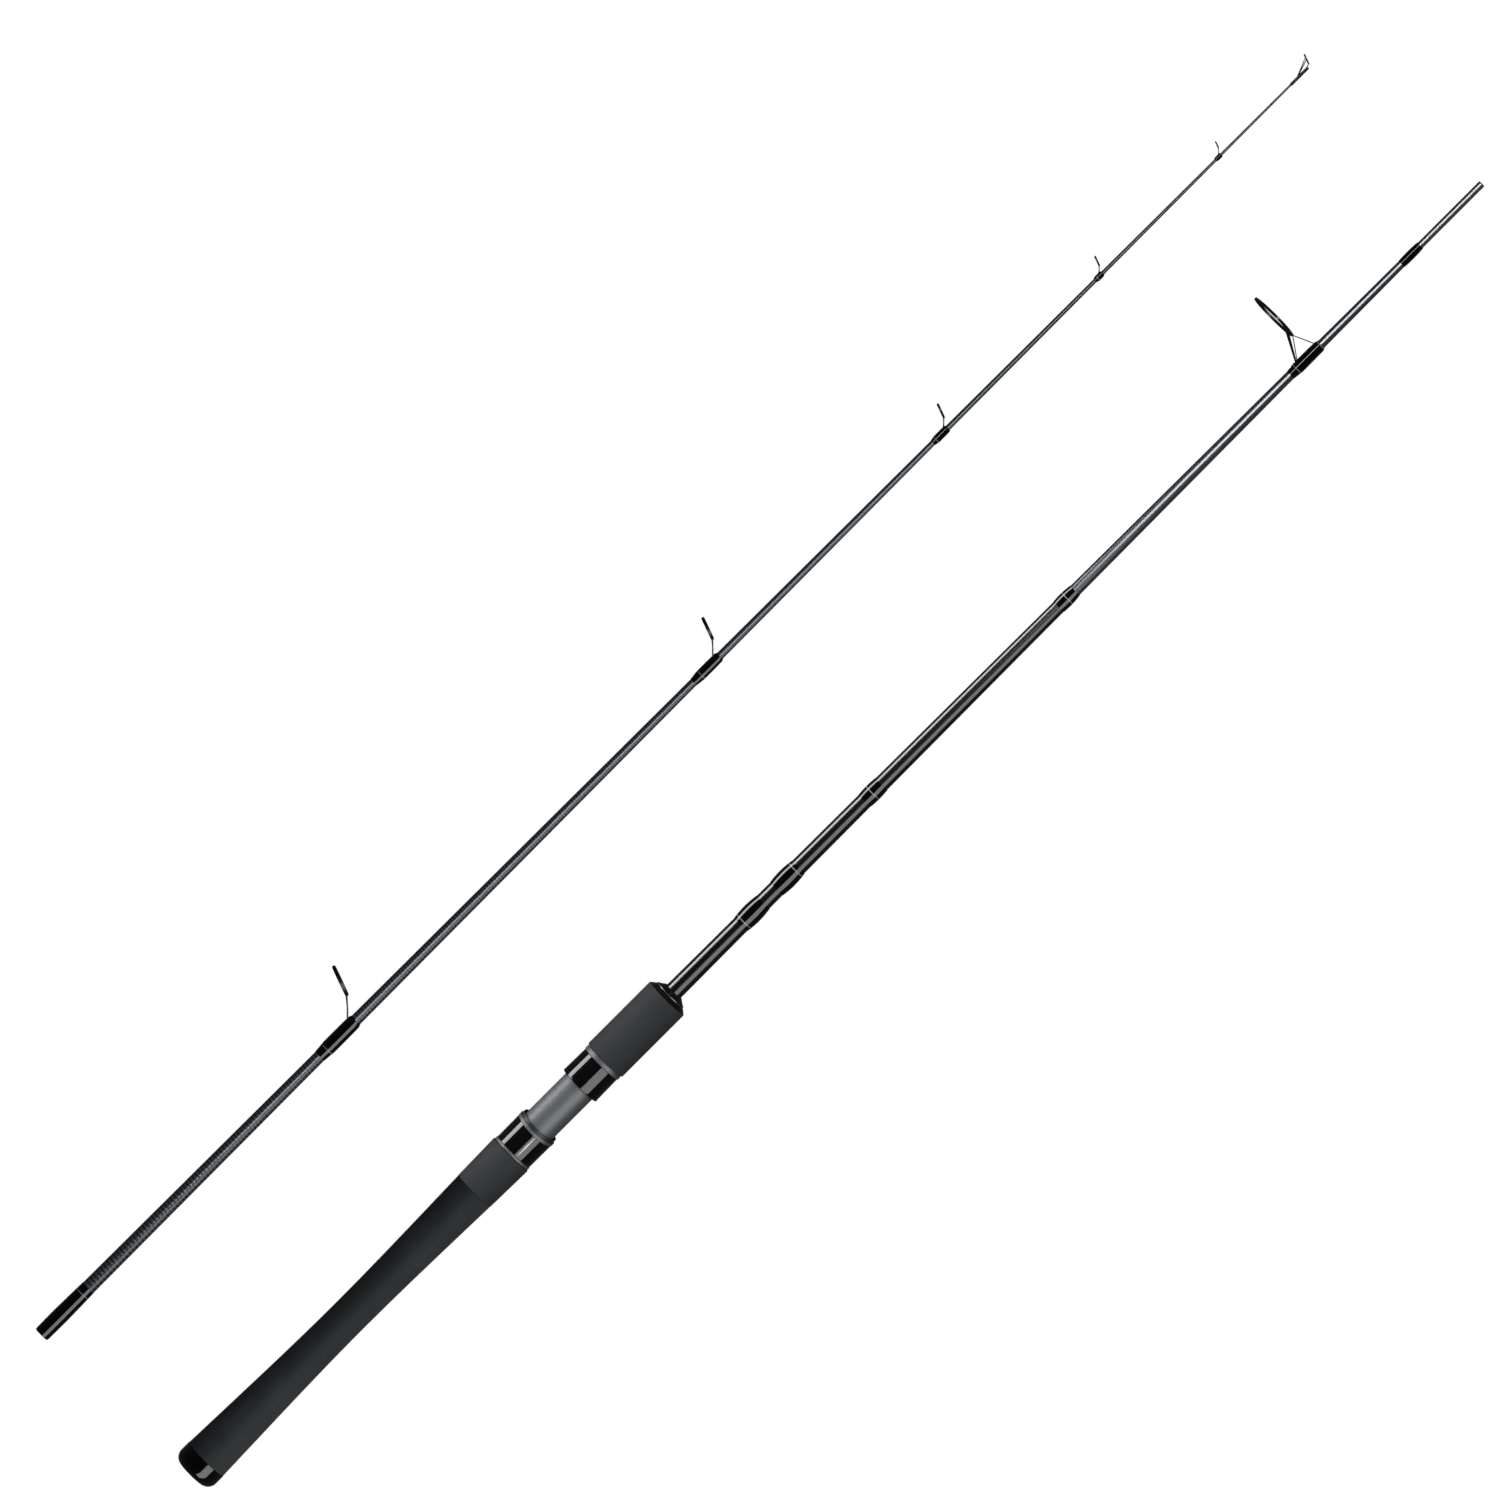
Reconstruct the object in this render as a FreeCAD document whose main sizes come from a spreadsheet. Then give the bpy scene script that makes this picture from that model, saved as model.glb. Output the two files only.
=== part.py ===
"""Two-piece spinning rod for a fixed-spool reel: the butt section with the tip section beside it.

Millimetres, +Z up.  The origin is the centre of the butt cap's end face.  +X runs along the butt
section towards the tip, and +Y is the side that the line guides stand on.  Both sections lie on
one flat surface, each on its thickest end and on the side of its largest guide ring, so each is
rolled a little about its own axis.  Every piece is drawn in its section's own frame, with x along
the blank and the guides towards +y, and its Placement lays it down beside the others.
"""

import FreeCAD, Part
import math
import os
import re

import Sketcher
from FreeCAD import Placement, Rotation, Vector

SIZES = {
    # how the two sections lie
    "section_spacing": 121.0,
    "tip_setback": 5.2,
    # gaps and fits between pieces
    "glue_gap": 0.05,
    "joint_gap": 0.2,
    "running_gap": 0.06,
    "free_gap": 0.3,
    # how far cutting shapes run past what they cut
    "cut_margin": 1.0,
    # small chamfer of the metal rings and other turned edges
    "ring_edge": 0.3,
    # butt cap
    "cap_radius": 14.4,
    "cap_length": 12.5,
    "cap_flat_radius": 7.9,
    "cap_corner_rise": 1.9,
    "cap_groove_radius": 6.2,
    "cap_groove_width": 0.7,
    "cap_groove_depth": 0.4,
    "cap_plug_length": 7.0,
    # rear grip and its collar
    "grip_end_radius": 14.2,
    "grip_waist_station": 127.0,
    "grip_waist_radius": 11.25,
    "grip_rear_swell_station": 70.0,
    "grip_rear_swell_radius": 12.37,
    "grip_front_swell_station": 190.0,
    "grip_front_swell_radius": 12.03,
    "grip_front_station": 238.5,
    "grip_front_radius": 13.3,
    "collar_start_radius": 13.4,
    "collar_end_radius": 14.0,
    "collar_edge": 0.5,
    # reel seat
    "seat_start": 269.2,
    "seat_ring_length": 1.8,
    "seat_ring_stand": 2.4,
    "barrel_radius": 11.05,
    "key_depth": 1.45,
    "barrel_end": 356.0,
    "seat_wall": 3.05,
    "thread_step": 1.85,
    "thread_depth": 0.6,
    "thread_pitch": 2.0,
    "seat_end": 393.4,
    "arbor_length": 14.0,
    "arbor_inset": 7.0,
    # fixed hood, with its mouth cut at a slant
    "hood_stand": 2.05,
    "hood_flare": 0.15,
    "hood_skin": 0.35,
    "hood_mouth_station": 289.2,
    "mouth_slope": 9.5,
    "mouth_ring_stand": 0.35,
    "mouth_ring_length": 1.8,
    "liner_lip": 2.2,
    "liner_wall": 0.3,
    "liner_base_length": 4.0,
    # sliding hood
    "slider_start": 326.4,
    "slider_end": 344.5,
    "slider_stand": 2.03,
    "slider_flare": 0.28,
    "slider_lip": 1.3,
    "slider_lip_drop": 0.45,
    "slider_guide_length": 6.5,
    "slider_mouth_rise": 0.35,
    "liner_setback": 0.4,
    "neck_wall": 0.65,
    "neck_length": 5.0,
    "neck_flange_stand": 1.1,
    "neck_flange_length": 1.3,
    # lock ring, nut, foregrip and winding check
    "lock_ring_length": 2.9,
    "lock_ring_stand": 2.45,
    "lock_ring_bead": 0.35,
    "lock_ring_step": 0.6,
    "foregrip_length": 52.1,
    "foregrip_wall": 1.63,
    "foregrip_round": 1.0,
    "foregrip_bore_room": 0.6,
    "nut_start": 363.0,
    "nut_length": 20.0,
    "nut_wall": 3.3,
    "nut_flute_radius": 1.0,
    "nut_flutes": 8,
    "check_length": 5.9,
    "check_rear_step": 0.28,
    "check_front_radius": 6.75,
    "check_bore_radius": 6.15,
    "check_bead": 0.35,
    # butt blank
    "blank_start": 20.0,
    "blank_start_radius": 7.48,
    "blank_wall": 0.9,
    "paint_end": 735.6,
    "paint_end_radius": 4.21,
    "bare_start_radius": 3.89,
    "spigot_start": 1031.0,
    "shoulder_radius": 2.36,
    "spigot_radius": 2.2,
    "spigot_length": 51.6,
    "spigot_edge": 0.3,
    # thread wraps: their build is how far they stand out of the blank
    "wrap_edge": 0.1,
    "trim_wrap_1_start": 462.0,
    "trim_wrap_1_end": 480.6,
    "trim_wrap_2_start": 491.8,
    "trim_wrap_2_end": 510.0,
    "trim_wrap_3_start": 565.9,
    "trim_wrap_3_end": 579.8,
    "trim_wrap_4_start": 728.4,
    "trim_wrap_4_end": 742.2,
    "long_wrap_build": 0.75,
    "short_wrap_build": 0.4,
    "spigot_wrap_length": 15.5,
    "spigot_wrap_build": 0.3,
    # tip blank with the ferrule socket in its thick end
    "tip_start_radius": 4.6,
    "tip_end_radius": 0.6,
    "tip_length": 1062.0,
    "tip_bore_end": 700.0,
    "tip_bore_end_radius": 0.9,
    "socket_depth": 53.0,
    "socket_gap": 0.03,
    "socket_step": 2.0,
    "socket_step_depth": 0.4,
    "socket_wrap_end": 39.5,
    "socket_wrap_radius": 5.07,
    "socket_wrap_round": 1.6,
    "socket_wrap_edge": 0.35,
    # line guides
    "leg_room": 1.0,
    "leg_spread": 0.6,
    "leg_thickness": 1.9,
    "arm_angle": 27.0,
    "neck_share": 0.45,
    "rear_leg_angle": 44.0,
    "rear_leg_width": 1.2,
    "strut_width": 1.1,
    "toe_length": 0.7,
    "insert_stand": 0.12,
    "foot_rise": 0.05,
    "wrap_skin": 0.25,
    "guide_lean": 20.3,
    # tip top: how much of the blank its tube covers, and where the legs leave the tube
    "tube_cover": 13.6,
    "tube_length": 14.6,
    "tube_radius": 0.95,
    "tip_top_ahead": 3.9,
    "tip_top_foot_back": 7.0,
    "tip_leg_radius": 0.3,
    "tongue_setback": 1.5,
    "tongue_width": 0.95,
    "tongue_thickness": 0.5,
}

# Each guide: how far its ring stands behind the spigot's shoulder on the butt section, or behind the
# thin end of the blank on the tip section, then the height of the ring's centre, ring radius, width
# of the hoop along its own axis, wall of the hoop, thickness of the insert, width and thickness of
# the foot strip, how far behind the ring the legs leave the blank and the thread wrap starts and
# ends, and the build of that wrap.
GUIDE_WORDS = ("back", "height", "radius", "hoop_width", "hoop_wall", "insert", "strip_width",
               "strip", "foot_back", "wrap_start_back", "wrap_end_back", "build")
GUIDES = {
    1: (91.1, 31.3, 15.75, 1.4, 0.7, 1.8, 2.4, 0.55, 9.8, 17.2, -8.2, 0.15),
    2: (787.2, 23.4, 9.9, 1.8, 0.55, 1.4, 2.2, 0.5, 13.3, 40.7, 10.4, 0.3),
    3: (485.3, 16.9, 7.4, 1.6, 0.5, 1.15, 1.8, 0.45, 9.8, 28.6, 6.6, 0.3),
    4: (296.4, 10.3, 4.8, 1.15, 0.4, 0.7, 1.4, 0.35, 6.1, 16.8, 4.4, 0.15),
    5: (168.2, 7.5, 3.35, 0.95, 0.3, 0.6, 1.1, 0.3, 4.6, 9.2, 2.9, 0.1),
    6: (69.4, 5.9, 2.3, 0.75, 0.25, 0.4, 0.9, 0.25, 3.6, 7.2, 2.3, 0.1),
}
SIZES["guide_1_foot_length"] = 15.5
for word, number_value in zip(GUIDE_WORDS[1:6], (4.3, 3.35, 0.8, 0.3, 0.65)):
    SIZES[f"tip_top_{word}"] = number_value

# radii and places that follow from the sizes
PLACES = {
    "seat_ring_radius": "barrel_radius + seat_ring_stand",
    "key_flat": "barrel_radius - key_depth",
    "seat_bore_radius": "barrel_radius - seat_wall",
    "thread_radius": "barrel_radius - thread_step",
    "hood_rear_radius": "barrel_radius + hood_stand",
    "hood_mouth_radius": "hood_rear_radius + hood_flare",
    "mouth_ring_radius": "hood_rear_radius + mouth_ring_stand",
    "slider_front_radius": "barrel_radius + slider_stand",
    "slider_mouth_radius": "slider_front_radius + slider_flare",
    "neck_flange_radius": "barrel_radius + neck_flange_stand",
    "lock_ring_radius": "barrel_radius + lock_ring_stand",
    "nut_radius": "thread_radius + nut_wall",
    "foregrip_radius": "nut_radius + foregrip_wall",
    "foregrip_bore_radius": "thread_radius + foregrip_bore_room",
    "check_rear_radius": "foregrip_radius - check_rear_step",
    "tip_top_station": "tip_length + tip_top_ahead",
    "tip_top_foot": "tip_length - tip_top_foot_back",
    "tube_start": "tip_length - tube_cover",
}
for number, row in GUIDES.items():
    key = f"guide_{number}"
    for word, number_value in zip(GUIDE_WORDS, row):
        SIZES[f"{key}_{word}"] = number_value
    PLACES[f"{key}_station"] = f"{'spigot_start' if number == 1 else 'tip_length'} - {key}_back"
    for word in ("foot", "wrap_start", "wrap_end"):
        PLACES[f"{key}_{word}"] = f"{key}_station - {key}_{word}_back"
PLACES["guide_1_front_foot"] = "guide_1_foot + guide_1_foot_length"

doc = FreeCAD.newDocument("SpinningRod")
sheet = doc.addObject("Spreadsheet::Sheet", "Sizes")
for line_number, (alias, number_value) in enumerate(SIZES.items(), start=1):
    sheet.set(f"A{line_number}", alias)
    sheet.set(f"B{line_number}", str(number_value))
    sheet.setAlias(f"B{line_number}", alias)
doc.recompute()


# ---------------------------------------------------------------- expressions and placements

def bound(text):
    """The expression with PLACES written out and every size pointing at its cell in the sheet."""
    def swap(match):
        name = match[0]
        if name in PLACES:
            return f"({bound(PLACES[name])})"
        return "Sizes." + name if name in SIZES else name
    return re.sub(r"[a-z]\w*", swap, str(text))


def size(text):
    """The present value of an expression of named sizes."""
    return float(sheet.evalExpression(bound(text)))


def taper(x, start, start_radius, end, end_radius):
    """Radius at x on a straight taper, as an expression."""
    return (f"(({start_radius}) + (({end_radius}) - ({start_radius}))"
            f" * (({x}) - ({start})) / (({end}) - ({start})))")


def painted(x):
    """Radius of the butt blank's painted stretch, from the grip to the last trim wrap."""
    return taper(x, "blank_start", "blank_start_radius", "paint_end", "paint_end_radius")


def bare(x):
    """Radius of the butt blank's unpainted stretch, up to the spigot's shoulder."""
    return taper(x, "paint_end", "bare_start_radius", "spigot_start", "shoulder_radius")


def tip(x):
    """Radius of the tip blank."""
    return taper(x, "0", "tip_start_radius", "tip_length", "tip_end_radius")


FLOOR = -size("cap_radius")

butt_roll = math.degrees(math.asin(
    (size("guide_1_radius") - size("cap_radius")) / size("guide_1_height")))
BUTT = Placement(Vector(0, 0, 0), Rotation(Vector(1, 0, 0), butt_roll))

tip_roll = math.degrees(math.asin(
    (size("guide_2_radius") - size("socket_wrap_radius")) / size("guide_2_height")))
TIP = Placement(Vector(-size("tip_setback"), size("section_spacing"), FLOOR + size("socket_wrap_radius")),
                Rotation(Vector(1, 0, 0), tip_roll))


# ---------------------------------------------------------------- PartDesign building blocks

SUB_PARTS = []


def plane(body, role):
    """One of the body's own origin features, such as XY_Plane or X_Axis."""
    return next(feature for feature in body.Origin.OriginFeatures if feature.Role == role)


def new_sketch(body, name, role):
    """An empty sketch on one of the body's own origin planes."""
    sketch = body.newObject("Sketcher::SketchObject", name)
    sketch.AttachmentSupport = [(plane(body, role), "")]
    sketch.MapMode = "FlatFace"
    return sketch


def pin_point(sketch, geometry, end, x, y, mark):
    """Holds one end of a sketch line at the expressions x and y."""
    for kind, axis, text in (("DistanceX", "x", x), ("DistanceY", "y", y)):
        index = sketch.addConstraint(Sketcher.Constraint(kind, geometry, end, size(text)))
        sketch.renameConstraint(index, axis + mark)
        sketch.setExpression(f"Constraints.{axis}{mark}", bound(text))


def draw_loop(sketch, corners, mark="p"):
    """Closed outline through the corners (x, y), (x, y, rise) or (x, y, via), as expressions.

    A rise bends the edge that leaves the corner into an arc that stands that far out to its right,
    which is away from the axis on an outside drawn towards -x.  A list of via points makes that
    edge a smooth curve through them.
    """
    count = len(corners)
    spots = [Vector(size(corner[0]), size(corner[1]), 0) for corner in corners]
    first = sketch.GeometryCount
    starts = []
    for i in range(count):
        here, there = spots[i], spots[(i + 1) % count]
        if len(corners[i]) == 2:
            sketch.addGeometry(Part.LineSegment(here, there))
            starts.append(1)
            continue
        if isinstance(corners[i][2], list):
            curve = Part.BSplineCurve()
            curve.interpolate([here] + [Vector(size(x), size(y), 0) for x, y in corners[i][2]] + [there])
            index = sketch.addGeometry(curve)
        else:
            chord = there - here
            right = Vector(chord.y, -chord.x, 0).normalize()
            middle = (here + there) * 0.5 + right * size(corners[i][2])
            index = sketch.addGeometry(Part.Arc(here, middle, there))
        starts.append(1 if (sketch.getPoint(index, 1) - here).Length < 1e-6 else 2)
    for i in range(count):
        after = (i + 1) % count
        sketch.addConstraint(
            Sketcher.Constraint("Coincident", first + i, 3 - starts[i], first + after, starts[after]))
    for i in range(count):
        pin_point(sketch, first + i, starts[i], corners[i][0], corners[i][1], f"{mark}{i}")
    for i in range(count):
        if len(corners[i]) == 3 and not isinstance(corners[i][2], list):
            x0, y0, rise = corners[i]
            x1, y1 = corners[(i + 1) % count][:2]
            radius = (f"abs(((({x1}) - ({x0}))^2 + (({y1}) - ({y0}))^2) / (8 * ({rise}))"
                      f" + ({rise}) / 2)")
            index = sketch.addConstraint(Sketcher.Constraint("Radius", first + i, size(radius)))
            sketch.renameConstraint(index, f"arc{mark}{i}")
            sketch.setExpression(f"Constraints.arc{mark}{i}", bound(radius))


def turned(label, place, corners):
    """A sub-part turned about the blank's axis from a closed outline of (x, radius) corners."""
    body = doc.addObject("PartDesign::Body", label)
    body.Label = label
    profile = new_sketch(body, label + "_profile", "XY_Plane")
    draw_loop(profile, corners)
    doc.recompute()
    turn = body.newObject("PartDesign::Revolution", label + "_turn")
    turn.Profile = profile
    turn.ReferenceAxis = (profile, ["H_Axis"])
    body.Placement = place
    SUB_PARTS.append(body)
    return body


def sleeve(label, place, outside, bore):
    """A turned tube: the outside's corners towards -x, then the bore's corners towards +x."""
    return turned(label, place, outside + bore)


def pocket(body, name, role, corners, through=True, depth=None):
    """Cuts a closed outline out of the body, right through or to a depth from the plane."""
    doc.recompute()
    before = body.Shape.Volume
    outline = new_sketch(body, name + "_outline", role)
    draw_loop(outline, corners)
    doc.recompute()
    cut = body.newObject("PartDesign::Pocket", name)
    cut.Profile = outline
    if through:
        cut.Type = "ThroughAll"
        cut.Midplane = True
    else:
        cut.Type = "Length"
        cut.Length = size(depth)
        cut.setExpression("Length", bound(depth))
    doc.recompute()
    if not body.Shape.Volume < before - 1e-3:
        raise ValueError(f"{name} cuts nothing")
    return cut


# ---------------------------------------------------------------- butt section: handle

def butt_cap():
    """Hard cap on the end of the grip, with a ring groove in its face and a plug into the bore."""
    plug_end = "cap_length + cap_plug_length"
    plug_radius = "blank_start_radius - joint_gap / 2"
    groove_outer = "cap_groove_radius + cap_groove_width"
    turned("butt_cap", BUTT, [
        ("0", "0"),
        (plug_end, "0"),
        (plug_end, plug_radius),
        ("cap_length", plug_radius),
        ("cap_length", "cap_radius"),
        ("cap_radius - cap_flat_radius", "cap_radius", "cap_corner_rise"),
        ("0", "cap_flat_radius"),
        ("0", groove_outer),
        ("cap_groove_depth", groove_outer),
        ("cap_groove_depth", "cap_groove_radius"),
        ("0", "cap_groove_radius"),
    ])


def rear_grip():
    """Long foam grip, waisted near its middle."""
    start = "cap_length + joint_gap"
    end = "grip_front_station - joint_gap"
    sleeve("rear_grip", BUTT, [
        (end, "grip_front_radius", [
            ("grip_front_swell_station", "grip_front_swell_radius"),
            ("grip_waist_station", "grip_waist_radius"),
            ("grip_rear_swell_station", "grip_rear_swell_radius"),
        ]),
        (start, "grip_end_radius"),
    ], [
        (start, f"{painted(start)} + glue_gap"),
        (end, f"{painted(end)} + glue_gap"),
    ])


def grip_collar():
    """Short foam collar between the rear grip and the reel seat."""
    end = "seat_start - joint_gap"
    sleeve("grip_collar", BUTT, [
        (end, "collar_end_radius - collar_edge"),
        (f"{end} - collar_edge", "collar_end_radius"),
        ("grip_front_station", "collar_start_radius"),
    ], [
        ("grip_front_station", f"{painted('grip_front_station')} + glue_gap"),
        (end, f"{painted(end)} + glue_gap"),
    ])


HOOD_START = "(seat_start + seat_ring_length + joint_gap)"


def reel_seat_body():
    """Barrel of the reel seat: a round land for the reel foot with a flat on its underside that
    keys the sliding hood, then the thread of the locking nut."""
    flank = "thread_radius - thread_depth"
    body = sleeve("reel_seat_body", BUTT, [
        ("seat_end", flank),
        ("seat_end - thread_depth", "thread_radius"),
        ("barrel_end", "thread_radius"),
        ("barrel_end", "barrel_radius"),
        ("seat_start", "barrel_radius"),
    ], [
        ("seat_start", "seat_bore_radius"),
        ("seat_end", "seat_bore_radius"),
    ])
    pocket(body, "key_flat_cut", "XZ_Plane", [
        (f"{HOOD_START} + liner_base_length", "-key_flat"),
        ("barrel_end + cut_margin", "-key_flat"),
        ("barrel_end + cut_margin", "-barrel_radius - cut_margin"),
        (f"{HOOD_START} + liner_base_length", "-barrel_radius - cut_margin"),
    ])
    first = "barrel_end + thread_pitch"
    outline = new_sketch(body, "thread_outline", "XY_Plane")
    draw_loop(outline, [
        (first, flank),
        (f"{first} + thread_depth", "thread_radius + thread_depth / 6"),
        (f"{first} - thread_depth", "thread_radius + thread_depth / 6"),
    ])
    doc.recompute()
    groove = body.newObject("PartDesign::Groove", "thread_groove")
    groove.Profile = outline
    groove.ReferenceAxis = (outline, ["H_Axis"])
    doc.recompute()
    rows = body.newObject("PartDesign::LinearPattern", "thread_rows")
    rows.Originals = [groove]
    rows.Direction = (plane(body, "X_Axis"), [""])
    rows.Occurrences = int(size("(seat_end - barrel_end) / thread_pitch")) - 1
    rows.Length = (rows.Occurrences - 1) * size("thread_pitch")
    body.Tip = rows
    doc.recompute()


def seat_arbors():
    """Three bushings that centre the reel seat on the blank."""
    middle = "(seat_start + seat_end - arbor_length) / 2"
    for name, start in (("rear", "seat_start + arbor_inset"), ("middle", middle),
                        ("front", "seat_end - arbor_inset - arbor_length")):
        end = f"{start} + arbor_length"
        sleeve(f"seat_arbor_{name}", BUTT, [
            (end, "seat_bore_radius - glue_gap"),
            (start, "seat_bore_radius - glue_gap"),
        ], [
            (start, f"{painted(start)} + glue_gap"),
            (end, f"{painted(end)} + glue_gap"),
        ])


def seat_ring():
    """Metal ring that closes the rear end of the reel seat."""
    end = "seat_start + seat_ring_length"
    sleeve("seat_ring", BUTT, [
        (end, "seat_ring_radius - ring_edge"),
        (f"{end} - ring_edge", "seat_ring_radius"),
        ("seat_start + ring_edge", "seat_ring_radius"),
        ("seat_start", "seat_ring_radius - ring_edge"),
    ], [
        ("seat_start", "barrel_radius + glue_gap"),
        (end, "barrel_radius + glue_gap"),
    ])


def slanted(body, name, station, towards_tip):
    """Trims a body along the slanted plane of the fixed hood's mouth, on one side of a station."""
    reach = "(mouth_ring_radius + cut_margin)"
    lean = f"{reach} * tan(mouth_slope)"
    far = f"{station} + 3 * {reach}" if towards_tip else f"{station} - 3 * {reach}"
    pocket(body, name, "XZ_Plane", [
        (f"{station} - {lean}", reach),
        (f"{station} + {lean}", f"-{reach}"),
        (far, f"-{reach}"),
        (far, reach),
    ])


def d_hole(body, name, gap, start, end):
    """Opens a hole that fits the barrel and its flat underside, with the given gap all round."""
    half = f"sqrt((barrel_radius + {gap})^2 - (key_flat + {gap})^2)"
    pocket(body, name, "YZ_Plane", [
        (f"-{half}", f"-key_flat - {gap}"),
        (half, f"-key_flat - {gap}", f"barrel_radius + {gap} + key_flat + {gap}"),
    ])


def fixed_hood():
    """Fixed hood: a metal skin over a plastic liner, with a ring around its slanted mouth."""
    start = HOOD_START
    past = "hood_mouth_station + mouth_ring_radius"
    skin = sleeve("fixed_hood", BUTT, [
        (past, "hood_mouth_radius"),
        ("hood_mouth_station", "hood_mouth_radius"),
        (start, "hood_rear_radius"),
    ], [
        (start, "hood_rear_radius - hood_skin"),
        (past, "hood_rear_radius - hood_skin"),
    ])
    slanted(skin, "hood_mouth", "hood_mouth_station", True)

    ring = sleeve("hood_mouth_ring", BUTT, [
        (past, "mouth_ring_radius"),
        ("hood_mouth_station - mouth_ring_radius", "mouth_ring_radius"),
    ], [
        ("hood_mouth_station - mouth_ring_radius", "hood_rear_radius - hood_skin"),
        (past, "hood_rear_radius - hood_skin"),
    ])
    slanted(ring, "ring_front", "hood_mouth_station + joint_gap + mouth_ring_length", True)
    slanted(ring, "ring_rear", "hood_mouth_station + joint_gap", False)

    outer = "hood_rear_radius - hood_skin - glue_gap"
    inner = f"{outer} - liner_wall"
    liner = sleeve("fixed_hood_liner", BUTT, [
        (past, outer),
        (start, outer),
    ], [
        (start, "barrel_radius + glue_gap"),
        (f"{start} + liner_base_length", "barrel_radius + glue_gap"),
        (f"{start} + liner_base_length", inner),
        (past, inner),
    ])
    slanted(liner, "liner_mouth",
            "hood_mouth_station + joint_gap + mouth_ring_length + liner_lip", True)


# ---------------------------------------------------------------- butt section: moving clamp

def sliding_hood():
    """Sliding hood: a metal skin over a liner that is keyed on the barrel's flat underside."""
    sleeve("sliding_hood", BUTT, [
        ("slider_end", "slider_front_radius"),
        ("slider_start + slider_lip", "slider_mouth_radius", "slider_mouth_rise"),
        ("slider_start", "slider_mouth_radius - slider_lip_drop"),
    ], [
        ("slider_start", "slider_front_radius - hood_skin"),
        ("slider_end", "slider_front_radius - hood_skin"),
    ])

    outer = "slider_front_radius - hood_skin - glue_gap"
    guide = "slider_end - slider_guide_length"
    neck = "barrel_radius + running_gap + neck_wall"
    flange = "slider_end + neck_length - neck_flange_length"
    liner = sleeve("sliding_hood_liner", BUTT, [
        ("slider_end + neck_length", "neck_flange_radius"),
        (flange, "neck_flange_radius"),
        (flange, neck),
        ("slider_end", neck),
        ("slider_end", outer),
        ("slider_start + liner_setback", outer),
    ], [
        ("slider_start + liner_setback", f"{outer} - liner_wall"),
        (guide, f"{outer} - liner_wall"),
        (guide, "key_flat - cut_margin"),
        ("slider_end + neck_length", "key_flat - cut_margin"),
    ])
    d_hole(liner, "keyed_hole", "running_gap", guide, "slider_end + neck_length")


def lock_ring():
    """Metal ring on the foregrip that pushes the sliding hood and draws it back by its neck."""
    start = "slider_end + joint_gap"
    end = f"{start} + lock_ring_length"
    sleeve("lock_ring", BUTT, [
        (end, "lock_ring_radius - lock_ring_bead"),
        (f"{end} - lock_ring_step", "lock_ring_radius - lock_ring_bead"),
        (f"{end} - lock_ring_step", "lock_ring_radius"),
        (f"{start} + ring_edge", "lock_ring_radius"),
        (start, "lock_ring_radius - ring_edge"),
    ], [
        (start, "barrel_radius + running_gap + neck_wall + free_gap"),
        (end, "barrel_radius + running_gap + neck_wall + free_gap"),
    ])


FOREGRIP_START = "(slider_end + joint_gap + lock_ring_length + glue_gap)"
FOREGRIP_END = f"({FOREGRIP_START} + foregrip_length)"


def foregrip():
    """Foam foregrip, bonded around the locking nut that it turns."""
    nut_end = "nut_start + nut_length + glue_gap"
    sleeve("foregrip", BUTT, [
        (FOREGRIP_END, "foregrip_radius - ring_edge"),
        (f"{FOREGRIP_END} - ring_edge", "foregrip_radius"),
        (f"{FOREGRIP_START} + foregrip_round", "foregrip_radius", "foregrip_round * 0.29"),
        (FOREGRIP_START, "foregrip_radius - foregrip_round"),
    ], [
        (FOREGRIP_START, "nut_radius + glue_gap"),
        (nut_end, "nut_radius + glue_gap"),
        (nut_end, "foregrip_bore_radius"),
        (FOREGRIP_END, "foregrip_bore_radius"),
    ])


def locking_nut():
    """Nut inside the foregrip, running on the seat's thread, with flutes that hold in the foam."""
    end = "nut_start + nut_length"
    body = sleeve("locking_nut", BUTT, [
        (end, "nut_radius"),
        ("nut_start", "nut_radius"),
    ], [
        ("nut_start", "thread_radius + running_gap"),
        (end, "thread_radius + running_gap"),
    ])
    outline = new_sketch(body, "flute_outline", "YZ_Plane")
    outline.addGeometry(Part.Circle(Vector(size("nut_radius"), 0, 0), Vector(0, 0, 1),
                                    size("nut_flute_radius")))
    pin_point(outline, 0, 3, "nut_radius", "0", "centre")
    index = outline.addConstraint(Sketcher.Constraint("Radius", 0, size("nut_flute_radius")))
    outline.renameConstraint(index, "flute")
    outline.setExpression("Constraints.flute", "Sizes.nut_flute_radius")
    doc.recompute()
    flute = body.newObject("PartDesign::Pocket", "nut_flute")
    flute.Profile = outline
    flute.Type = "ThroughAll"
    flute.Midplane = True
    doc.recompute()
    flutes = body.newObject("PartDesign::PolarPattern", "nut_flutes_all")
    flutes.Originals = [flute]
    flutes.Axis = (plane(body, "X_Axis"), [""])
    flutes.Occurrences = int(size("nut_flutes"))
    body.Tip = flutes
    doc.recompute()


def winding_check():
    """Steep cone that closes the front of the foregrip around the blank."""
    start = f"{FOREGRIP_END} + glue_gap"
    end = f"{start} + check_length"
    half = f"{start} + check_length / 2"
    half_radius = "(check_rear_radius + check_front_radius) / 2"
    sleeve("winding_check", BUTT, [
        (end, "check_front_radius - ring_edge"),
        (f"{end} - ring_edge", "check_front_radius"),
        (f"{half} + check_bead", f"{half_radius} - check_bead"),
        (f"{half} + check_bead", f"{half_radius} + check_bead / 2"),
        (f"{half} - check_bead", f"{half_radius} + check_bead"),
        (start, "check_rear_radius"),
    ], [
        (start, "check_bore_radius"),
        (end, "check_bore_radius"),
    ])


# ---------------------------------------------------------------- blanks and thread wraps

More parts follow.
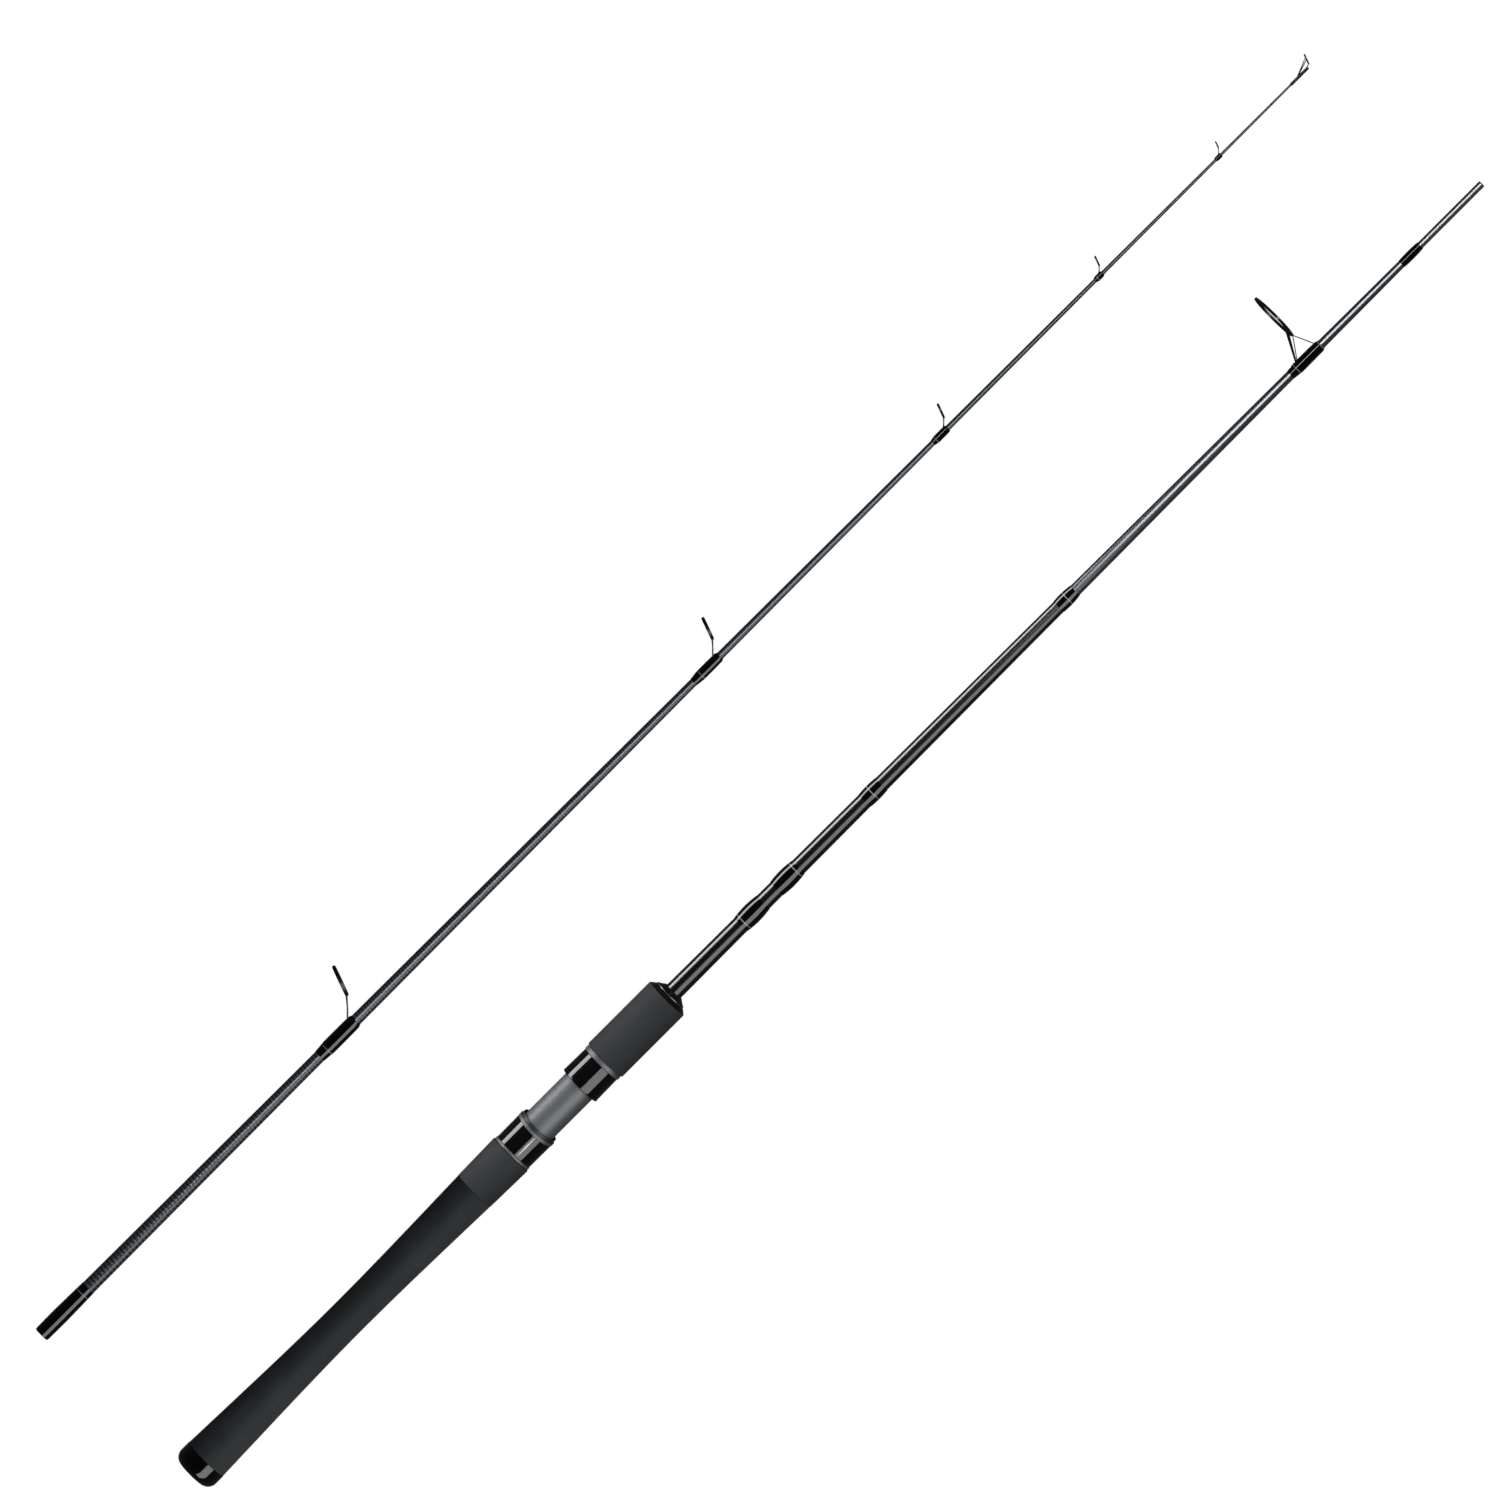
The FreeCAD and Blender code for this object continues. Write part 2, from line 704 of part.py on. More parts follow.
def butt_blank():
    """Hollow carbon blank of the butt section, with the ferrule spigot at its thin end."""
    end = "spigot_start + spigot_length"
    sleeve("butt_blank", BUTT, [
        (end, "spigot_radius - spigot_edge"),
        (f"{end} - spigot_edge", "spigot_radius"),
        ("spigot_start", "spigot_radius"),
        ("spigot_start", "shoulder_radius"),
        ("paint_end", "bare_start_radius"),
        ("paint_end", "paint_end_radius"),
        ("blank_start", "blank_start_radius"),
    ], [
        ("blank_start", "blank_start_radius - blank_wall"),
        ("paint_end", "bare_start_radius - blank_wall"),
        ("spigot_start", "spigot_radius - blank_wall"),
        (end, "spigot_radius - blank_wall"),
    ])


def trim_wraps():
    """Four bulged thread wraps along the painted stretch."""
    for number, build in ((1, "long_wrap_build"), (2, "long_wrap_build"), (3, "short_wrap_build")):
        start = f"trim_wrap_{number}_start"
        end = f"trim_wrap_{number}_end"
        sleeve(f"trim_wrap_{number}", BUTT, [
            (end, f"{painted(end)} + glue_gap + wrap_edge", build),
            (start, f"{painted(start)} + glue_gap + wrap_edge"),
        ], [
            (start, f"{painted(start)} + glue_gap"),
            (end, f"{painted(end)} + glue_gap"),
        ])
    start, end = "trim_wrap_4_start", "trim_wrap_4_end"
    sleeve("trim_wrap_4", BUTT, [
        (end, f"{bare(end)} + glue_gap + wrap_edge", "short_wrap_build * 0.4"),
        ("paint_end - 1", "paint_end_radius + wrap_edge + short_wrap_build", "short_wrap_build * 0.3"),
        (start, f"{painted(start)} + glue_gap + wrap_edge"),
    ], [
        (start, f"{painted(start)} + glue_gap"),
        ("paint_end + glue_gap", f"{painted('paint_end')} + glue_gap"),
        ("paint_end + glue_gap", f"{bare('paint_end')} + glue_gap"),
        (end, f"{bare(end)} + glue_gap"),
    ])


def spigot_wrap():
    """Thread wrap that binds the blank just behind the spigot's shoulder."""
    start, end = "spigot_start - spigot_wrap_length", "spigot_start"
    sleeve("spigot_wrap", BUTT, [
        (end, f"{bare(end)} + glue_gap + wrap_edge", "spigot_wrap_build"),
        (start, f"{bare(start)} + glue_gap + wrap_edge"),
    ], [
        (start, f"{bare(start)} + glue_gap"),
        (end, f"{bare(end)} + glue_gap"),
    ])


def tip_blank():
    """Carbon blank of the tip section: the socket, then a bore that ends where the tip is solid."""
    socket = "spigot_radius + socket_gap"
    turned("tip_blank", TIP, [
        ("0", socket),
        ("socket_depth", socket),
        ("socket_depth + socket_step", "spigot_radius - socket_step_depth"),
        ("tip_bore_end", "tip_bore_end_radius"),
        ("tip_bore_end + socket_step", "0"),
        ("tip_length", "0"),
        ("tip_length", "tip_end_radius"),
        ("0", "tip_start_radius"),
    ])


def socket_wrap():
    """Long thread wrap that keeps the socket from splitting."""
    end = "socket_wrap_end"
    top = "socket_wrap_end * 0.45"
    turned("socket_wrap", TIP, [
        ("glue_gap", f"{tip('glue_gap')} + glue_gap"),
        (end, f"{tip(end)} + glue_gap"),
        (end, f"{tip(end)} + glue_gap + wrap_edge"),
        (top, "socket_wrap_radius", "socket_wrap_edge / 12"),
        ("socket_wrap_round", "socket_wrap_radius - socket_wrap_edge / 3"),
        ("glue_gap", "socket_wrap_radius - socket_wrap_edge"),
    ])


# ---------------------------------------------------------------- line guides

def loft(sections):
    """A ruled solid through rectangles, each (centre, half width vector, half thickness vector)."""
    wires = []
    for centre, wide, thick in sections:
        ring = [centre + wide + thick, centre - wide + thick, centre - wide - thick, centre + wide - thick]
        wires.append(Part.makePolygon(ring + ring[:1]))
    return Part.makeLoft(wires, True, True)


def strip(points, widths, thickness, thin):
    """A flat strip along points; thin holds the thickness direction at every point."""
    sections = []
    for i, point in enumerate(points):
        ahead = points[min(i + 1, len(points) - 1)] - points[max(i - 1, 0)]
        wide = ahead.cross(thin[i]).normalize() * widths[i] / 2
        sections.append((point, wide, Vector(thin[i]).normalize() * thickness / 2))
    solid = loft(sections[:2])
    for i in range(1, len(sections) - 1):
        solid = solid.fuse(loft(sections[i:i + 2]))
    return solid


def disc(radius, width, centre, axis):
    """A cylinder around a ring's centre, along the ring's own axis."""
    return Part.makeCylinder(radius, width, centre - axis * (width / 2), axis)


def open_hoop(frame, radius, wall, width, centre, axis):
    """The frame with its hoop added and the hoop's bore cleared for the insert."""
    frame = frame.fuse(disc(radius, width, centre, axis))
    return frame.cut(disc(radius - wall, 4 * width, centre, axis))


def finished(label, shape, place):
    """A sub-part whose shape is built with Part's own functions."""
    piece = doc.addObject("Part::Feature", label)
    piece.Label = label
    piece.Shape = shape.removeSplitter()
    piece.Placement = place
    SUB_PARTS.append(piece)


def ring_frame(key, lean):
    """Centre, axis and down direction of a guide's ring that leans towards the tip."""
    centre = Vector(size(f"{key}_station"), size(f"{key}_height"), 0)
    tilt = math.radians(lean)
    axis = Vector(math.cos(tilt), -math.sin(tilt), 0)
    down = Vector(-math.sin(tilt), -math.cos(tilt), 0)
    return centre, axis, down


def rim_point(centre, down, radius, angle):
    """Point on a ring, at an angle from its lowest point towards +z."""
    turn = math.radians(angle)
    return centre + down * (radius * math.cos(turn)) + Vector(0, 0, radius * math.sin(turn))


def on_blank(x, radius_at, thickness):
    """Centre line of a foot strip that lies on the blank at x."""
    return Vector(size(x), size(f"{radius_at(x)} + glue_gap + {thickness} / 2"), 0)


def insert(key, lean, place):
    """Hard ring that the line runs through, rounded all round, seated in the hoop."""
    centre, axis, down = ring_frame(key, lean)
    outer = size(f"{key}_radius - {key}_hoop_wall - glue_gap")
    inner = outer - size(f"{key}_insert")
    width = size(f"{key}_hoop_width * (1 + 2 * insert_stand)")
    ring = disc(outer, width, centre, axis).cut(disc(inner, width, centre, axis))
    inside = [edge for edge in ring.Edges if abs(edge.BoundBox.DiagonalLength) > 0
              and hasattr(edge.Curve, "Radius") and abs(edge.Curve.Radius - inner) < 1e-6]
    ring = ring.makeFillet(min(width / 2, outer - inner) * 0.8, inside)
    finished(f"{key}_insert", ring, place)


def single_foot_frame(key, place):
    """Frame of a leaning guide: hoop, two arms from its lower rim, one leg and a foot strip."""
    lean = size("guide_lean")
    centre, axis, down = ring_frame(key, lean)
    radius, wall = size(f"{key}_radius"), size(f"{key}_hoop_wall")
    thick, wide = size(f"{key}_strip"), size(f"{key}_strip_width")
    bottom = rim_point(centre, down, radius - wall / 2, 0)
    heel = on_blank(f"{key}_wrap_start + 0.35 * ({key}_foot - {key}_wrap_start)", tip, f"{key}_strip")
    start = on_blank(f"{key}_foot", tip, f"{key}_strip")
    rise = bottom - start
    leg = Vector(rise).normalize()
    face = Vector(-leg.y, leg.x, 0)
    neck = start + rise * size("neck_share")
    up = Vector(0, 1, 0)
    bend = (up + face).normalize()
    stout = thick * size("leg_thickness")
    sole = start + (start - heel).normalize() * stout
    frame = strip([heel, sole], [wide * 0.6, wide], thick, [up, up])
    ankle = start + up * ((stout - thick) / 2)
    frame = frame.fuse(strip([ankle, neck], [wide, wide * 0.8], stout, [bend, face]))
    for side in (-1, 1):
        landing = rim_point(centre, down, radius - wall / 2, side * size("arm_angle"))
        root = neck + Vector(0, 0, side * wide * 0.18) - leg * (thick / 4)
        frame = frame.fuse(strip([root, landing], [wide * 0.42, wide * 0.38], stout * 0.8, [face, face]))
    frame = open_hoop(frame, radius, wall, size(f"{key}_hoop_width"), centre, axis)
    finished(f"{key}_frame", frame, place)


def double_foot_frame():
    """Frame of the first guide: upright hoop, two rear legs, one front strut, one long foot."""
    centre, axis, down = ring_frame("guide_1", 0)
    radius, wall = size("guide_1_radius"), size("guide_1_hoop_wall")
    thick, wide = size("guide_1_strip"), size("guide_1_strip_width")
    stout = thick * size("leg_thickness")
    up = Vector(0, 1, 0)
    heel, rear, front, toe = [on_blank(x, bare, "guide_1_strip") for x in (
        "guide_1_wrap_start + 0.45 * (guide_1_foot - guide_1_wrap_start)", "guide_1_foot",
        "guide_1_front_foot", "guide_1_front_foot + toe_length")]
    frame = strip([heel, rear, front, toe], [wide * 0.6, wide, wide, wide * 0.8], thick,
                  [up, up, up, up])
    for side in (-1, 1):
        landing = rim_point(centre, down, radius - wall / 2, side * size("rear_leg_angle"))
        landing = landing - Vector(size("guide_1_hoop_width") * 0.2, 0, 0)
        foot = rear + Vector(0, 0, side * wide * 0.28)
        rise = landing - foot
        face = rise.cross(Vector(0, 0, 1)).normalize()
        leg_width = size("rear_leg_width")
        frame = frame.fuse(strip([foot, landing], [leg_width, leg_width], stout, [face, face]))
    bottom = rim_point(centre, down, radius - wall / 2, 0)
    rise = front - bottom
    face = rise.cross(Vector(0, 0, 1)).normalize()
    strut_width = size("strut_width")
    frame = frame.fuse(strip([front, bottom], [strut_width, strut_width], thick, [face, face]))
    frame = open_hoop(frame, radius, wall, size("guide_1_hoop_width"), centre, axis)
    finished("guide_1_frame", frame, BUTT)


GUIDE_1_TOE = "guide_1_front_foot + toe_length + free_gap"


def guide_wrap(key, radius_at, place, slots):
    """Thread wrap over a guide's foot: bored for the blank, slotted for the foot and its legs."""
    start, end = f"{key}_wrap_start", f"{key}_wrap_end"
    cover = f"glue_gap + {key}_strip + foot_rise + wrap_skin"
    shoulder = f"0.25 * ({end} - {start})"
    body = turned(f"{key}_wrap", place, [
        (start, f"{radius_at(start)} + glue_gap"),
        (end, f"{radius_at(end)} + glue_gap"),
        (end, f"{radius_at(end)} + glue_gap + wrap_edge"),
        (f"{end} - {shoulder} / 4", f"{radius_at(end)} + {cover}", f"{key}_build / 4"),
        (f"{start} + {shoulder}", f"{radius_at(start)} + {cover}"),
        (start, f"{radius_at(start)} + glue_gap + wrap_edge"),
    ])
    half = f"({key}_strip_width / 2 + foot_rise)"
    heel = f"{start} + 0.3 * ({key}_foot - {start})"
    front = GUIDE_1_TOE if key == "guide_1" else f"{end} + cut_margin"
    pocket(body, f"{key}_foot_channel", "XZ_Plane", [
        (heel, f"-{half}"),
        (front, f"-{half}"),
        (front, half),
        (heel, half),
    ], through=False, depth=f"{radius_at(heel)} + glue_gap + {key}_strip + foot_rise")
    for name, low, high, spread in slots:
        side = f"({half} + {spread})"
        pocket(body, f"{key}_{name}_slot", "XZ_Plane", [
            (low, f"-{side}"),
            (high, f"-{side}"),
            (high, side),
            (low, side),
        ], through=False, depth=f"{key}_height")


def guides():
    """Every guide from the butt section's large one to the smallest on the tip section."""
    double_foot_frame()
    insert("guide_1", 0, BUTT)
    guide_wrap("guide_1", bare, BUTT, (
        ("rear", "guide_1_foot - leg_room", "guide_1_foot + leg_room", "leg_spread"),
        ("front", "guide_1_front_foot - leg_room", GUIDE_1_TOE, "0"),
    ))
    for number in (2, 3, 4, 5, 6):
        key = f"guide_{number}"
        single_foot_frame(key, TIP)
        insert(key, size("guide_lean"), TIP)
        guide_wrap(key, tip, TIP, (
            ("leg", f"{key}_foot - leg_thickness * {key}_strip", f"{key}_wrap_end + cut_margin", "0"),
        ))


def tip_top():
    """Tip top: a tube over the end of the blank that carries a leaning ring on two long legs."""
    lean = size("guide_lean")
    centre, axis, down = ring_frame("tip_top", lean)
    radius, wall = size("tip_top_radius"), size("tip_top_hoop_wall")
    start, length = size("tube_start"), size("tube_length")
    outer = size("tube_radius")
    along = Vector(1, 0, 0)
    frame = Part.makeCylinder(outer, length, Vector(start, 0, 0), along)
    spread = outer * math.sqrt(0.5) * 1.06
    legs_from = Vector(size("tip_top_foot"), spread, 0)
    for side in (-1, 1):
        landing = rim_point(centre, down, radius - wall / 2, side * 100)
        root = legs_from + Vector(0, 0, side * spread)
        rise = landing - root
        leg = Part.makeCylinder(size("tip_leg_radius"), rise.Length, root, rise)
        frame = frame.fuse(leg)
    lowest = rim_point(centre, down, radius - wall / 2, 0)
    tongue_end = Vector(lowest.x, lowest.y, 0)
    tongue_start = Vector(start + length - size("tongue_setback"), outer * 0.3, 0)
    tongue_width = size("tongue_width")
    up = Vector(0, 1, 0)
    frame = frame.fuse(strip([tongue_start, tongue_end], [tongue_width, tongue_width],
                             size("tongue_thickness"), [up, up]))
    bore = Part.makeCone(size(f"{tip('tube_start')} + glue_gap"), size("tip_end_radius + glue_gap"),
                         size("tube_cover"), Vector(start, 0, 0), along)
    frame = open_hoop(frame, radius, wall, size("tip_top_hoop_width"), centre, axis)
    finished("tip_top_frame", frame.cut(bore), TIP)
    insert("tip_top", lean, TIP)


# ---------------------------------------------------------------- build, check and export

def build():
    """Makes every sub-part of both sections."""
    for make in (butt_cap, rear_grip, grip_collar, reel_seat_body, seat_arbors, seat_ring, fixed_hood,
                 sliding_hood, lock_ring, foregrip, locking_nut, winding_check, butt_blank,
                 trim_wraps, spigot_wrap, tip_blank, socket_wrap, guides, tip_top):
        make()
    doc.recompute()


def check():
    """Stops if any object of the document failed or any sub-part has a bad shape."""
    for item in doc.Objects:
        if {"Invalid", "Error"} & set(item.State):
            raise ValueError(f"{item.Name}: {item.State}")
    for piece in SUB_PARTS:
        if piece.Shape.isNull() or not piece.Shape.isValid() or not piece.Shape.Solids:
            raise ValueError(f"{piece.Label}: bad shape")


def export():
    """Writes each sub-part to its own STEP file."""
    os.makedirs("parts", exist_ok=True)
    for piece in SUB_PARTS:
        piece.Shape.exportStep(f"parts/{piece.Label}.step")
        box = piece.Shape.BoundBox
        print(f"{piece.Label}: {len(piece.Shape.Solids)} solid, {piece.Shape.Volume:.1f} mm3, "
              f"x {box.XMin:.1f}..{box.XMax:.1f}")


build()
check()
export()
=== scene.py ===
"""Looks of the two-piece spinning rod: finishes for its CAD pieces, fine fittings, light and camera."""

import math

import bpy
from mathutils import Matrix, Vector


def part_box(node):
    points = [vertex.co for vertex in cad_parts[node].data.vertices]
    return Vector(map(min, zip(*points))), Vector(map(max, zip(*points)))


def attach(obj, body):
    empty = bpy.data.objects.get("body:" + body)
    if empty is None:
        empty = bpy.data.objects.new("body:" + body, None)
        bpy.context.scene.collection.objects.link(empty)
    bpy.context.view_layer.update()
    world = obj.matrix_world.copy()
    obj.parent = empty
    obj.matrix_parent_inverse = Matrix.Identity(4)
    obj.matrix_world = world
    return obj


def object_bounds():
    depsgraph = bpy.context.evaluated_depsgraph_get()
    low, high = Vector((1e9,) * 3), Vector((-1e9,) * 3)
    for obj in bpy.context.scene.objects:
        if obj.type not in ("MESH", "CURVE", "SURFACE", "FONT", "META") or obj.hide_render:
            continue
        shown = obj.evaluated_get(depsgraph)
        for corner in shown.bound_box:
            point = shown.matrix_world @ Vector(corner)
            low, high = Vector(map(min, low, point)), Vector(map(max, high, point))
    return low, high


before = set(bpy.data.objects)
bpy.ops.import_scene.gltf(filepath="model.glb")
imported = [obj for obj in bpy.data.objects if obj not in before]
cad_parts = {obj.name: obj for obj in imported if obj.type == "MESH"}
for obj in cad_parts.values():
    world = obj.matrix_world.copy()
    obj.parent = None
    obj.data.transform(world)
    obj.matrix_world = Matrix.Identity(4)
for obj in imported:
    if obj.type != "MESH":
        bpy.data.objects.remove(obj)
cad_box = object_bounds()

MM = 0.001
FULL_TURN = 2 * math.pi


def srgb(code):
    """Linear colour of a hex colour such as 27292b."""
    parts = [int(code[i:i + 2], 16) / 255 for i in (0, 2, 4)]
    return tuple(p / 12.92 if p <= 0.04045 else ((p + 0.055) / 1.055) ** 2.4 for p in parts) + (1.0,)


def grey(level):
    """Linear neutral colour."""
    return (level, level, level, 1.0)


def middle(node):
    """Centre of a CAD node's box."""
    low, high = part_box(node)
    return (low + high) / 2


def rear_end(node):
    """Place in mm along the rod of a node's end on the cap's side."""
    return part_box(node)[0].x / MM


def add_piece(name, points, faces, finish):
    """New mesh object with one finish."""
    mesh = bpy.data.meshes.new(name)
    mesh.from_pydata(points, [], faces)
    mesh.materials.append(finish.material)
    piece = bpy.data.objects.new(name, mesh)
    bpy.context.scene.collection.objects.link(piece)
    return piece


# both sections lie along X; each axis is given by the point where it crosses X = 0
BUTT_AXIS = Vector((0.0, 0.0, 0.0))
TIP_AXIS = Vector((0.0, middle("tip_blank").y, middle("tip_blank").z))


# ---------------------------------------------------------------- shader graphs

class Field:
    """A socket of a shader graph that can be used in sums."""

    def __init__(self, graph, socket):
        self.graph = graph
        self.socket = socket

    def math(self, operation, *others):
        return self.graph.node("Math", (self, *others), operation=operation)

    def __add__(self, other):
        return self.math("ADD", other)

    __radd__ = __add__

    def __sub__(self, other):
        return self.math("SUBTRACT", other)

    def __rsub__(self, other):
        return self.graph.node("Math", (other, self), operation="SUBTRACT")

    def __mul__(self, other):
        return self.math("MULTIPLY", other)

    __rmul__ = __mul__

    def part(self):
        """What is left after the whole number below."""
        return self.math("FRACT")

    def size(self):
        return self.math("ABSOLUTE")

    def larger(self, other):
        return self.math("MAXIMUM", other)

    def above(self, edge, softness=1e-3):
        """0 below the edge and 1 above it."""
        return self.graph.node("MapRange", (self, edge - softness, edge + softness, 0.0, 1.0),
                               interpolation_type="SMOOTHSTEP")

    def within(self, low, high, softness=1e-3):
        return self.above(low, softness) * (1 - self.above(high, softness))

    def near(self, place, half, softness):
        """1 closer to the place than half, falling to 0 over the softness."""
        return 1 - (self - place).size().above(half, softness)


class Graph:
    """A node tree whose nodes come from one method."""

    def __init__(self, tree):
        self.tree = tree

    def node(self, kind, values=(), output=0, **settings):
        """Adds a node, with its settings first, then the values or links of its sockets."""
        made = self.tree.nodes.new("ShaderNode" + kind)
        for key, value in settings.items():
            if key == "stops":
                self.set_stops(made.color_ramp, value)
            else:
                setattr(made, key, value)
        pairs = values.items() if isinstance(values, dict) else enumerate(values)
        for key, value in pairs:
            if isinstance(value, Field):
                self.tree.links.new(value.socket, made.inputs[key])
            else:
                made.inputs[key].default_value = value
        return Field(self, made.outputs[output])

    @staticmethod
    def set_stops(ramp, stops):
        while len(ramp.elements) < len(stops):
            ramp.elements.new(1.0)
        for element, (at, colour) in zip(ramp.elements, stops):
            element.position = at
            element.color = colour

    def show(self, shader, output):
        """Sends a shader to the tree's output node."""
        self.tree.links.new(shader.socket, self.tree.nodes[output].inputs["Surface"])


class Finish(Graph):
    """A material whose Principled shader gets constants on its sockets and links for what varies."""

    def __init__(self, name, **constants):
        self.material = bpy.data.materials.new(name)
        self.material.use_nodes = True
        super().__init__(self.material.node_tree)
        self.shader = self.tree.nodes["Principled BSDF"]
        for socket, value in constants.items():
            self.shader.inputs[socket.replace("_", " ")].default_value = value
        self.place = self.node("TexCoord", output="Object")
        apart = self.node("SeparateXYZ", (self.place,)).socket.node
        self.x, self.y, self.z = [Field(self, apart.outputs[axis]) * (1 / MM) for axis in "XYZ"]

    def noise(self, cells, detail=3.0, roughness=0.55, stretch=None):
        """Noise around 0.5 with so many cells per metre; stretch scales the place along each axis first."""
        place = self.place
        if stretch:
            place = self.node("VectorMath", (place, stretch), operation="MULTIPLY")
        return self.node("TexNoise", {"Vector": place, "Scale": cells, "Detail": detail,
                                      "Roughness": roughness})

    def mix(self, share, first, second):
        """Colour between first and second; 6 and 7 are the node's colour sockets and 2 its colour output."""
        return self.node("Mix", {0: share, 6: first, 7: second}, output=2, data_type="RGBA")

    def around(self, axis):
        """Angle round a section's axis, in turns from the guides' side."""
        angle = self.node("Math", (self.z - axis.z / MM, self.y - axis.y / MM), operation="ARCTAN2")
        return angle * (1 / FULL_TURN)

    def bump(self, height, depth, strength):
        """Depth is the relief's height in mm for a height of 1."""
        self.feed(Normal=self.node("Bump", {"Strength": strength, "Distance": depth * MM, "Height": height}))

    def feed(self, **links):
        """Links what varies over the surface to the shader's sockets."""
        for socket, value in links.items():
            self.tree.links.new(value.socket, self.shader.inputs[socket.replace("_", " ")])

    def on(self, *names):
        """Puts this finish on CAD nodes."""
        for name in names:
            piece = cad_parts[name]
            piece.data.materials.clear()
            piece.data.materials.append(self.material)


def grained(name, cells, dark, light, roughness, spread, depth, detail=2.0, strength=0.5, **constants):
    """Plain stuff with one fine grain, which shows in its colour, its roughness and its relief."""
    finish = Finish(name, **constants)
    grain = finish.noise(cells, detail)
    finish.feed(Base_Color=finish.mix(grain, srgb(dark), srgb(light)), Roughness=roughness + grain * spread)
    finish.bump(grain, depth, strength)
    return finish


# ---------------------------------------------------------------- grips and cap

def foam(name, dark, base, light):
    """Closed-cell grip foam: fine grain, faint sanding clouds and tiny open cells, which are darkened with
    painted shade.
    """
    finish = Finish(name, Specular_IOR_Level=0.14, Sheen_Weight=0.03, Sheen_Roughness=0.4)
    grain = finish.noise(1500.0, detail=4.0, roughness=0.7)
    cloud = finish.noise(45.0, roughness=0.5)
    cells = finish.node("TexVoronoi", {"Vector": finish.place, "Scale": 1300.0}, feature="F1")
    pits_and_shade = 1 - cells.above(0.16, 0.1)
    tone = finish.mix(grain.above(0.5, 0.22), srgb(dark), srgb(base))
    tone = finish.mix(cloud.above(0.56, 0.2) * 0.55, tone, srgb(light))
    # painted shade: the open cells are darkened in colour
    tone = finish.mix(pits_and_shade * 0.5, tone, srgb(dark))
    finish.feed(Base_Color=tone, Roughness=0.78 + (grain - 0.5) * 0.25)
    finish.bump(grain * 0.7 + cloud * 0.3 - pits_and_shade * 0.6, depth=0.09, strength=0.7)
    return finish


foam("rear_foam", "272a2c", "313437", "383b3e").on("rear_grip")
foam("front_foam", "2b2d2f", "323537", "383b3d").on("grip_collar", "foregrip")


def gloss_black(name, base, roughness):
    """Hard gloss black with faint polishing marks and a little dust in the clear layer."""
    finish = Finish(name, Specular_IOR_Level=0.5, Coat_Roughness=0.04)
    marks = finish.noise(600.0, detail=2.0, roughness=0.5, stretch=(0.06, 1.0, 1.0))
    dust = finish.noise(5200.0, detail=1.0).above(0.74, 0.04)
    tone = finish.mix(dust * 0.35, srgb(base), srgb("1c1d1f"))
    finish.feed(Base_Color=tone, Roughness=roughness + marks * 0.04 + dust * 0.12)
    finish.bump(marks, depth=0.004, strength=0.4)
    return finish


gloss_black("cap_gloss", "050506", 0.06).on("butt_cap")


# ---------------------------------------------------------------- reel seat and winding check

gloss_black("hood_gloss", "0b0b0c", 0.05).on("fixed_hood", "sliding_hood")

liner = grained("liner_plastic", 2600.0, "08090a", "161718", roughness=0.42, spread=0.15, depth=0.01,
                Specular_IOR_Level=0.4)
liner.on("fixed_hood_liner", "sliding_hood_liner", "locking_nut")

arbor = grained("arbor_foam", 1800.0, "6e6a60", "98948a", roughness=0.8, spread=0.1, depth=0.05, detail=4.0,
                strength=0.6)
arbor.on("seat_arbor_rear", "seat_arbor_middle", "seat_arbor_front")

# the seat's barrel: satin moulded plastic with a fine spark-eroded texture
seat = Finish("seat_satin", Specular_IOR_Level=0.5)
seat_grain = seat.noise(3200.0, detail=2.0, roughness=0.6)
seat_flow = seat.noise(60.0, roughness=0.5, stretch=(0.25, 1.0, 1.0))
seat_tone = seat.mix(seat_flow, srgb("54585b"), srgb("5e6265"))
seat_tone = seat.mix(seat_grain.above(0.6, 0.15) * 0.3, seat_tone, srgb("64686b"))
seat.feed(Base_Color=seat_tone, Roughness=0.4 + seat_grain * 0.1)
seat.bump(seat_grain, depth=0.006, strength=0.4)
seat.on("reel_seat_body")

# turned rings: marks run round the ring
rings = Finish("ring_satin_metal", Metallic=0.55)
turning = rings.noise(900.0, roughness=0.6, stretch=(9.0, 0.12, 0.12))
rings.feed(Base_Color=rings.mix(turning, srgb("4e5054"), srgb("5c5e62")), Roughness=0.46 + turning * 0.14)
rings.bump(turning, depth=0.003, strength=0.4)
rings.on("seat_ring", "hood_mouth_ring", "lock_ring")

# winding check: gloss black cone with turned steps and a bright line, which is broken into dashes
CHECK_LINE = middle("winding_check").x / MM - 0.05
CHECK_DASHES = 40.0
CHECK_STEPS_PER_MM = 2.2
CHECK_PLAIN_EDGE = 0.4
check = Finish("check_gloss", Specular_IOR_Level=0.5)
check_dash = (check.around(BUTT_AXIS) * CHECK_DASHES).part().near(0.5, 0.28, 0.15)
check_line = check.x.near(CHECK_LINE, 0.1, 0.08) * (0.35 + check_dash * 0.65)
check_step = (check.x * CHECK_STEPS_PER_MM).part().near(0.5, 0.12, 0.1)
check_step = check_step * check.x.above(rear_end("winding_check") + CHECK_PLAIN_EDGE)
check_marks = check.noise(1400.0, detail=2.0, roughness=0.5, stretch=(4.0, 0.3, 0.3))
check_black = check.mix(check_marks * 0.5, srgb("060607"), srgb("111214"))
check.feed(Base_Color=check.mix(check_line, check_black, srgb("7d7f82")), Metallic=check_line * 0.5,
           Roughness=0.14 + check_marks * 0.08 + check_line * 0.25)
check.bump(check_marks * 0.3 - check_step * 0.3, depth=0.03, strength=0.5)
check.on("winding_check")


# ---------------------------------------------------------------- blanks

PAINT_END = middle("trim_wrap_4").x / MM
SPIGOT_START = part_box("spigot_wrap")[1].x / MM
CLOTH_PER_MM = 0.55
CLOTH_PER_TURN = 14.0


